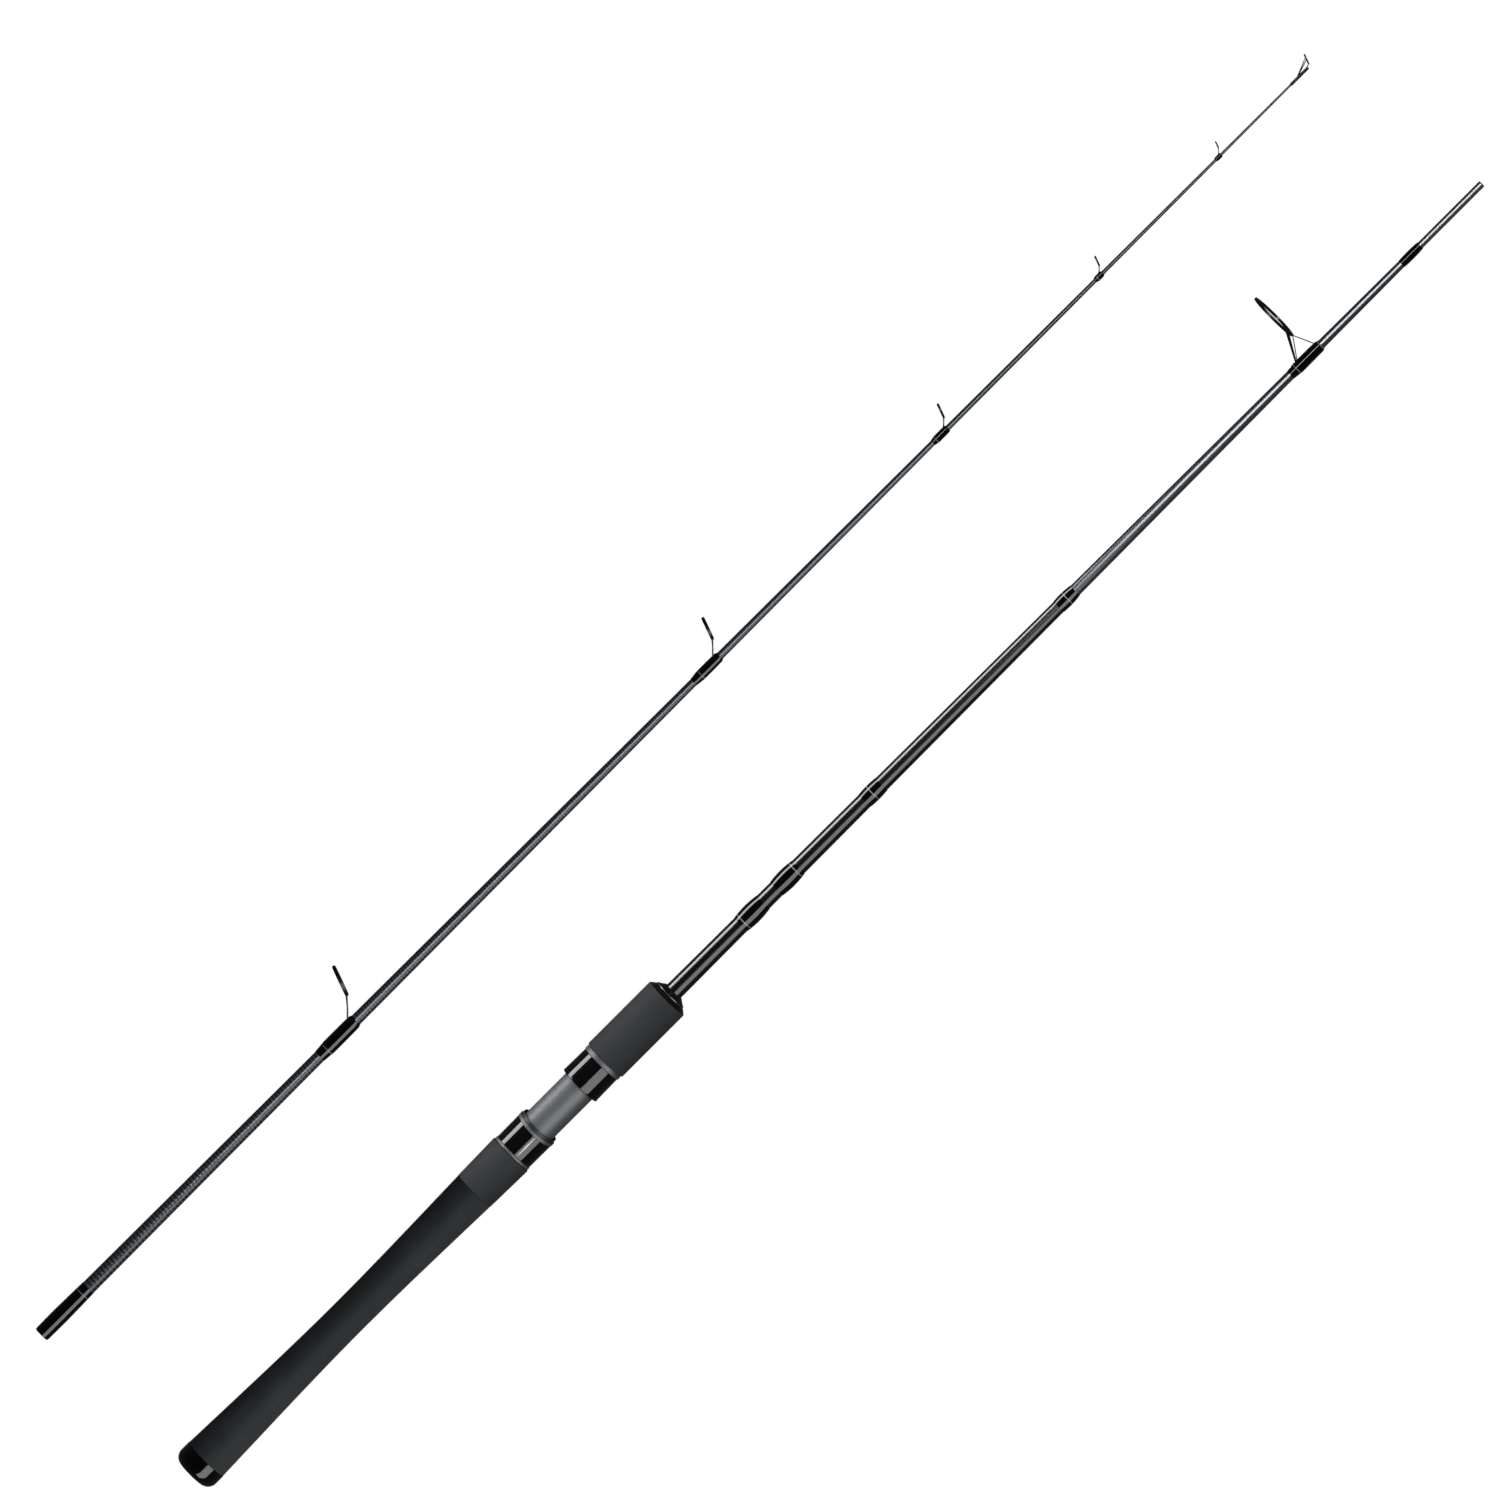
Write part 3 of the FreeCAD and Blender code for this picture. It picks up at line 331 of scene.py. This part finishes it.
def weave(finish, axis):
    """Faint two-way carbon cloth under the clear lacquer, as a mask from 0 to 1."""
    turn = finish.around(axis)
    one = (finish.x * CLOTH_PER_MM + turn * CLOTH_PER_TURN).part()
    two = (finish.x * CLOTH_PER_MM - turn * CLOTH_PER_TURN).part()
    return (one.near(0.5, 0.25, 0.2) + two.near(0.5, 0.25, 0.2)) * 0.5


# the butt blank: black paint up to the last trim wrap, bare carbon beyond it, then the spigot
butt = Finish("butt_lacquer", Specular_IOR_Level=0.65)
butt_bare = butt.x.above(PAINT_END, 0.05)
butt_spigot = butt.x.above(SPIGOT_START, 0.05)
butt_cloud = butt.noise(75.0, detail=4.0, roughness=0.6, stretch=(0.35, 1.0, 1.0))
butt_grain = butt.noise(900.0, roughness=0.6, stretch=(0.06, 1.0, 1.0))
butt_weave = weave(butt, BUTT_AXIS)
butt_paint = butt.mix(butt_cloud, srgb("0c0c0d"), srgb("121213"))
butt_carbon = butt.mix(butt_cloud.above(0.5, 0.3), srgb("2e3940"), srgb("3c474d"))
butt_carbon = butt.mix(butt_weave * 0.2, butt_carbon, srgb("566267"))
butt_carbon = butt.mix(butt_grain.above(0.58, 0.15) * 0.12, butt_carbon, srgb("323c42"))
butt_joint = butt.mix(butt_grain, srgb("43494c"), srgb("53595c"))
butt.feed(Base_Color=butt.mix(butt_spigot, butt.mix(butt_bare, butt_paint, butt_carbon), butt_joint),
          Roughness=0.19 + butt_bare * 0.05 + butt_grain * 0.03)
butt.bump(butt_grain * 0.4 + butt_weave * butt_bare * 0.3, depth=0.003, strength=0.3)
butt.on("butt_blank")

# the tip blank's cross-wrap ridges get closer and flatter towards the tip; their crests get a painted
# highlight and the valleys between them painted shade
RIDGES_PER_MM = 0.3448
RIDGES_GAINED = 0.000178
RIDGED_LENGTH = 620.0
FADE_LENGTH = 60.0
FADE = 0.85
tip = Finish("tip_lacquer", Specular_IOR_Level=0.4)
along = tip.x - rear_end("tip_blank")
turns = along * RIDGES_PER_MM + along * along * RIDGES_GAINED
tip_turn = tip.around(TIP_AXIS)
crest_and_highlight = (turns + tip_turn).part().near(0.5, 0.22, 0.2)
groove_shade = (turns + tip_turn + 0.5).part().near(0.5, 0.12, 0.08)
cross = (turns - tip_turn).part().near(0.5, 0.12, 0.12)
ridge_share = 1 - (1 - along.within(-1.0, RIDGED_LENGTH, FADE_LENGTH)) * FADE
tip_cloud = tip.noise(160.0, roughness=0.6, stretch=(0.4, 1.0, 1.0))
tip_grain = tip.noise(1300.0, roughness=0.6, stretch=(0.1, 1.0, 1.0))
tip_tone = tip.mix(tip_cloud, srgb("3b474e"), srgb("4b5960"))
# painted highlight: the ridge crests are lightened in colour
tip_tone = tip.mix(crest_and_highlight * ridge_share * 0.4, tip_tone, srgb("6d7d84"))
# painted shade: the valleys between the ridges are darkened in colour
tip_tone = tip.mix(groove_shade * ridge_share * 0.9, tip_tone, srgb("10171a"))
tip_tone = tip.mix(cross * ridge_share * 0.25, tip_tone, srgb("1c2327"))
tip_tone = tip.mix(tip_grain.above(0.6, 0.14) * ridge_share * 0.12, tip_tone, srgb("5c6a70"))
tip.feed(Base_Color=tip_tone, Roughness=0.17 + (tip_grain * 0.04 + crest_and_highlight * 0.06) * ridge_share)
tip.bump((crest_and_highlight * 0.8 + tip_grain * 0.15) * ridge_share, depth=0.06, strength=0.7)
tip.on("tip_blank")


# ---------------------------------------------------------------- thread wraps

THREADS_PER_MM = 4.2
SILVER_HALF = 0.16
TWISTS_PER_TURN = 26.0
TWISTS_PER_MM = 0.9

# each wrap's single silver turns, in mm from its rear end
BUTT_WRAPS = {"trim_wrap_1": (2.5,), "trim_wrap_2": (16.0,), "trim_wrap_3": (6.5,), "trim_wrap_4": (7.2,),
              "guide_1_wrap": (5.1, 24.9), "spigot_wrap": ()}
TIP_WRAPS = {"socket_wrap": (34.45,), "guide_2_wrap": (6.1,), "guide_3_wrap": (6.4,), "guide_4_wrap": (2.8,),
             "guide_5_wrap": (2.3,), "guide_6_wrap": ()}


def wrap(node, axis, silver_turns):
    """Black thread under clear epoxy, with single turns of twisted silver thread."""
    finish = Finish(node + "_epoxy", Specular_IOR_Level=0.5, Coat_Roughness=0.03)
    thread = (finish.x * THREADS_PER_MM).part().near(0.5, 0.3, 0.2)
    pool = finish.noise(140.0, detail=2.0, roughness=0.4, stretch=(0.5, 1.0, 1.0))
    tone = finish.mix(thread * 0.5, srgb("030303"), srgb("0c0c0d"))
    roughness = 0.05 + pool * 0.04
    lines = [finish.x.near(rear_end(node) + place, SILVER_HALF, 0.1) for place in silver_turns]
    if lines:
        silver = lines[0]
        for line in lines[1:]:
            silver = silver.larger(line)
        twist = (finish.around(axis) * TWISTS_PER_TURN + finish.x * TWISTS_PER_MM).part()
        tone = finish.mix(silver * (0.35 + twist.near(0.5, 0.3, 0.16) * 0.65), tone, srgb("e6e7e8"))
        roughness = roughness + silver * 0.1
    finish.feed(Base_Color=tone, Roughness=roughness)
    finish.bump(pool * 0.8 + thread * 0.2, depth=0.012, strength=0.3)
    finish.on(node)


for wraps, wraps_axis in ((BUTT_WRAPS, BUTT_AXIS), (TIP_WRAPS, TIP_AXIS)):
    for wrap_node, silver_places in wraps.items():
        wrap(wrap_node, wraps_axis, silver_places)


# ---------------------------------------------------------------- guides

guide_metal = Finish("guide_black_chrome", Specular_IOR_Level=0.5)
rolled = guide_metal.noise(2400.0, roughness=0.6, stretch=(1.0, 0.2, 1.0))
worn = guide_metal.noise(700.0, detail=2.0).above(0.6, 0.12)
guide_metal.feed(Base_Color=guide_metal.mix(rolled, srgb("0e0e11"), srgb("202025")),
                 Metallic=0.3 + worn * 0.3, Roughness=0.26 + rolled * 0.16)
guide_metal.bump(rolled, depth=0.006, strength=0.5)

ceramic = grained("guide_ceramic", 4000.0, "0c0c0e", "1b1b1f", roughness=0.16, spread=0.08, depth=0.002,
                  strength=0.3, Specular_IOR_Level=0.5)

for guide in [f"guide_{number}" for number in range(1, 7)] + ["tip_top"]:
    guide_metal.on(guide + "_frame")
    ceramic.on(guide + "_insert")

for cad_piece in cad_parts.values():
    cad_piece.data.shade_smooth()


# ---------------------------------------------------------------- glue lines

# the ring's thickness, how far it runs into each neighbour, and how far it stays below their surfaces
GLUE_DEPTH = 1.0 * MM
GLUE_BITE = 0.2 * MM
GLUE_BELOW = 0.04 * MM
RING_STEPS = 96
END_TOLERANCE = 0.02 * MM

glue = grained("black_glue", 2500.0, "0d0e0f", "1c1e20", roughness=0.6, spread=0.2, depth=0.02,
               Specular_IOR_Level=0.3)


def end_radius(node, station):
    """Outer radius of a node of the handle at its end, a station along X."""
    ring = [v.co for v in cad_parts[node].data.vertices if abs(v.co.x - station) < END_TOLERANCE]
    return max(math.hypot(v.y, v.z) for v in ring)


def glue_line(name, behind, ahead):
    """Thin black ring of glue that fills the joint between two neighbours on the handle."""
    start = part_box(behind)[1].x
    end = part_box(ahead)[0].x
    outer = min(end_radius(behind, start), end_radius(ahead, end)) - GLUE_BELOW
    profile = ((start - GLUE_BITE, outer), (end + GLUE_BITE, outer),
               (end + GLUE_BITE, outer - GLUE_DEPTH), (start - GLUE_BITE, outer - GLUE_DEPTH))
    points = []
    faces = []
    for step in range(RING_STEPS):
        turn = FULL_TURN * step / RING_STEPS
        points += [(x, radius * math.cos(turn), radius * math.sin(turn)) for x, radius in profile]
        here, then = step * 4, (step + 1) % RING_STEPS * 4
        faces += [(here + i, here + (i + 1) % 4, then + (i + 1) % 4, then + i) for i in range(4)]
    ring = add_piece(name, points, faces, glue)
    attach(ring, "butt_section")


glue_line("glue_line_cap", "butt_cap", "rear_grip")
glue_line("glue_line_collar", "rear_grip", "grip_collar")
glue_line("glue_line_seat", "grip_collar", "seat_ring")


# ---------------------------------------------------------------- thin strut of the largest guide

# the strut's foot is this far behind the ring and this far from the blank's axis
STRUT_FOOT_BEHIND = 8.6 * MM
STRUT_FOOT_OUT = 3.4 * MM
STRUT_RADIUS = 0.3 * MM
STRUT_SIDES = 16


def strut(name, foot, head):
    """Thin round bar between two places, finished as the guide's frame."""
    length = (head - foot).normalized()
    across = length.orthogonal().normalized()
    over = length.cross(across)
    corners = [FULL_TURN * step / STRUT_SIDES for step in range(STRUT_SIDES)]
    rim = [(across * math.cos(turn) + over * math.sin(turn)) * STRUT_RADIUS for turn in corners]
    points = [foot + spoke for spoke in rim] + [head + spoke for spoke in rim]
    faces = [(i, (i + 1) % STRUT_SIDES, STRUT_SIDES + (i + 1) % STRUT_SIDES, STRUT_SIDES + i)
             for i in range(STRUT_SIDES)]
    faces += [tuple(reversed(range(STRUT_SIDES))), tuple(range(STRUT_SIDES, 2 * STRUT_SIDES))]
    bar = add_piece(name, points, faces, guide_metal)
    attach(bar, "butt_section")


ring_centre = middle("guide_1_insert")
ring_low, ring_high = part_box("guide_1_frame")
ring_radius = (ring_high.z - ring_low.z) / 2
ring_out = Vector((0, ring_centre.y, ring_centre.z))
ring_side = ring_out.normalized()
strut("guide_1_strut",
      foot=Vector((ring_centre.x - STRUT_FOOT_BEHIND, 0, 0)) + ring_side * STRUT_FOOT_OUT,
      head=Vector((ring_centre.x, 0, 0)) + ring_side * (ring_out.length - ring_radius))


# ---------------------------------------------------------------- floor and room

FLOOR_REACH = 14.0
FLOOR_GLOW = 0.93


def studio_floor():
    """Pale floor under the rod: white to the eye, with the rod's soft shadow on it."""
    paper = Finish("floor_paper", Roughness=0.95, Specular_IOR_Level=0.0)
    paper.feed(Base_Color=paper.mix(paper.noise(900.0, detail=2.0), grey(0.15), grey(0.17)))
    seen = paper.node("LightPath", output="Is Camera Ray").larger(
        paper.node("LightPath", output="Is Transmission Ray"))
    glow = paper.node("Emission", {"Color": grey(1.0), "Strength": seen * FLOOR_GLOW})
    surface = Field(paper, paper.shader.outputs[0])
    paper.show(paper.node("AddShader", (surface, glow)), "Material Output")
    low = cad_box[0][2]
    corners = [(x * FLOOR_REACH, y * FLOOR_REACH, low) for x, y in ((-1, -1), (1, -1), (1, 1), (-1, 1))]
    floor = add_piece("floor", corners, [(0, 1, 2, 3)], paper)
    floor.visible_glossy = False
    return floor


def studio_world():
    """Dim room, a little darker overhead; white where the camera looks past the floor."""
    world = bpy.data.worlds.new("studio")
    bpy.context.scene.world = world
    world.use_nodes = True
    room = Graph(world.node_tree)
    height = room.node("SeparateXYZ", (room.node("TexCoord", output="Generated"),), output="Z")
    dim = room.node("ValToRGB", (height,), stops=[(0.0, grey(0.06)), (0.2, grey(0.05)), (1.0, grey(0.02))])
    walls = room.node("Background", {"Color": dim})
    white = room.node("Background", {"Color": grey(1.0)})
    seen = room.node("LightPath", output="Is Camera Ray")
    room.show(room.node("MixShader", (seen, walls, white)), "World Output")


# ---------------------------------------------------------------- lamps

# distances from the butt section's axis, in metres; the streak of a close lamp ends where the lamp does
OVERHEAD = 2.2
CLOSE = 0.5
FILL = 0.9
FLOOR_LAMP = 1.8

# from far behind the cap to far beyond the tip
WHOLE_ROOM = (-4.0, 5.0)

# how far behind the fixed hood the lamp of its glint starts and ends
GLINT_BEHIND = (49.7 * MM, 41.7 * MM)


def softbox(name, lit, angles, along, radiance, distance=OVERHEAD, shine=True, shape="RECTANGLE"):
    """Long soft box parallel to the rod. It reaches between two angles in degrees from straight up, of
    which the guides' side is positive, and between two places along X. It gives either shine or body
    colour, and only to the lit pieces."""
    light = bpy.data.lights.new(name, "AREA")
    light.shape = shape
    light.size = along[1] - along[0]
    light.size_y = 2 * distance * math.tan(math.radians(angles[1] - angles[0]) / 2)
    light.energy = radiance * math.pi * light.size * light.size_y
    lamp = bpy.data.objects.new(name, light)
    bpy.context.scene.collection.objects.link(lamp)
    turn = math.radians((angles[0] + angles[1]) / 2)
    side = Vector((1, 0, 0))
    back = Vector((0, math.sin(turn), math.cos(turn)))
    lamp.matrix_world = Matrix((side, back.cross(side), back)).transposed().to_4x4()
    lamp.location = Vector(((along[0] + along[1]) / 2, 0, 0)) + back * distance
    lamp.visible_glossy = shine
    lamp.visible_diffuse = not shine
    lamp.visible_camera = False
    receivers = bpy.data.collections.new(name + "_lit")
    for piece in lit:
        receivers.objects.link(piece)
    lamp.light_linking.receiver_collection = receivers


def fill(name, lit, angles, along, radiance, distance=FILL):
    """Soft box for body colour alone."""
    softbox(name, lit, angles, along, radiance, distance, shine=False)


def studio_lamps(floor):
    """Soft boxes for each group of pieces."""
    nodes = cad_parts
    everything = list(nodes.values())
    cap = nodes["butt_cap"]
    rear = [nodes["rear_grip"], cap]
    butt_tube, tip_tube = nodes["butt_blank"], nodes["tip_blank"]
    paint_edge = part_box("trim_wrap_4")[1].x
    fore = [nodes[name] for name in nodes if middle(name).x > paint_edge]
    tip_side = [nodes[name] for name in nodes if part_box(name)[0].y > TIP_AXIS.y / 2]
    main = [piece for piece in everything if piece not in fore + [butt_tube, tip_tube, cap]]
    seat_to_wraps = [piece for piece in main if piece not in tip_side + rear]
    front = [piece for piece in everything if piece not in rear]
    glint = [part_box("fixed_hood")[0].x - behind for behind in GLINT_BEHIND]

    softbox("key_softbox", main, (-62.0, -15.0), WHOLE_ROOM, 4.0)
    softbox("key_on_cap", [cap], (-64.0, -26.0), WHOLE_ROOM, 4.0)
    softbox("rim_softbox", seat_to_wraps, (66.0, 90.0), WHOLE_ROOM, 9.5)
    softbox("front_softbox", fore, (17.0, 25.0), WHOLE_ROOM, 13.0)
    softbox("key_on_blanks", [butt_tube, tip_tube], (-62.0, -15.0), (-1.2, 0.72), 3.3, CLOSE)
    softbox("rim_on_butt", [butt_tube], (62.0, 90.0), (0.15, 0.72), 11.5, CLOSE)
    softbox("front_on_butt", [butt_tube], (-4.0, 36.0), (0.74, 1.6), 17.0, CLOSE)
    softbox("front_on_tip", [tip_tube], (-2.0, 26.0), (0.08, 1.6), 9.5, CLOSE)
    softbox("hood_glint", [nodes["fixed_hood"]], (-33.0, -25.0), glint, 20.0, CLOSE, shape="ELLIPSE")
    fill("rear_fill", rear, (-62.0, 62.0), (-1.4, 0.4), 0.6)
    fill("rear_under", rear, (-90.0, -72.0), (-1.4, 0.4), 3.5)
    fill("handle_fill", seat_to_wraps, (20.0, 85.0), (-0.4, 1.6), 1.5)
    fill("fore_fill", front, (-70.0, 20.0), (-0.6, 2.4), 0.55)
    fill("floor_fill", [floor], (-50.0, 40.0), (-2.0, 3.0), 1.2, FLOOR_LAMP)


# ---------------------------------------------------------------- camera

LEAN = math.radians(5.0)
CAMERA_DISTANCE = 36.93
AIM = Vector((0.5388, 0.0691, 0.0))
FOCAL_LENGTH = 1500
SENSOR = 36
CLIP_END = 200


def camera():
    """Long lens high above the rod, leaning a little over the tip end and turned by 45 degrees."""
    ahead = Vector((math.cos(LEAN), 0, -math.sin(LEAN)))
    aside = Vector((0, 1, 0))
    back = Vector((math.sin(LEAN), 0, math.cos(LEAN)))
    right = (ahead - aside).normalized()
    up = (ahead + aside).normalized()
    lens = bpy.data.cameras.new("camera")
    lens.lens = FOCAL_LENGTH
    lens.sensor_width = SENSOR
    lens.clip_end = CLIP_END
    eye = bpy.data.objects.new("camera", lens)
    bpy.context.scene.collection.objects.link(eye)
    eye.matrix_world = Matrix((right, up, back)).transposed().to_4x4()
    eye.location = AIM + back * CAMERA_DISTANCE
    bpy.context.scene.camera = eye


studio_lamps(studio_floor())
studio_world()
camera()
bpy.context.scene.view_settings.view_transform = "Standard"
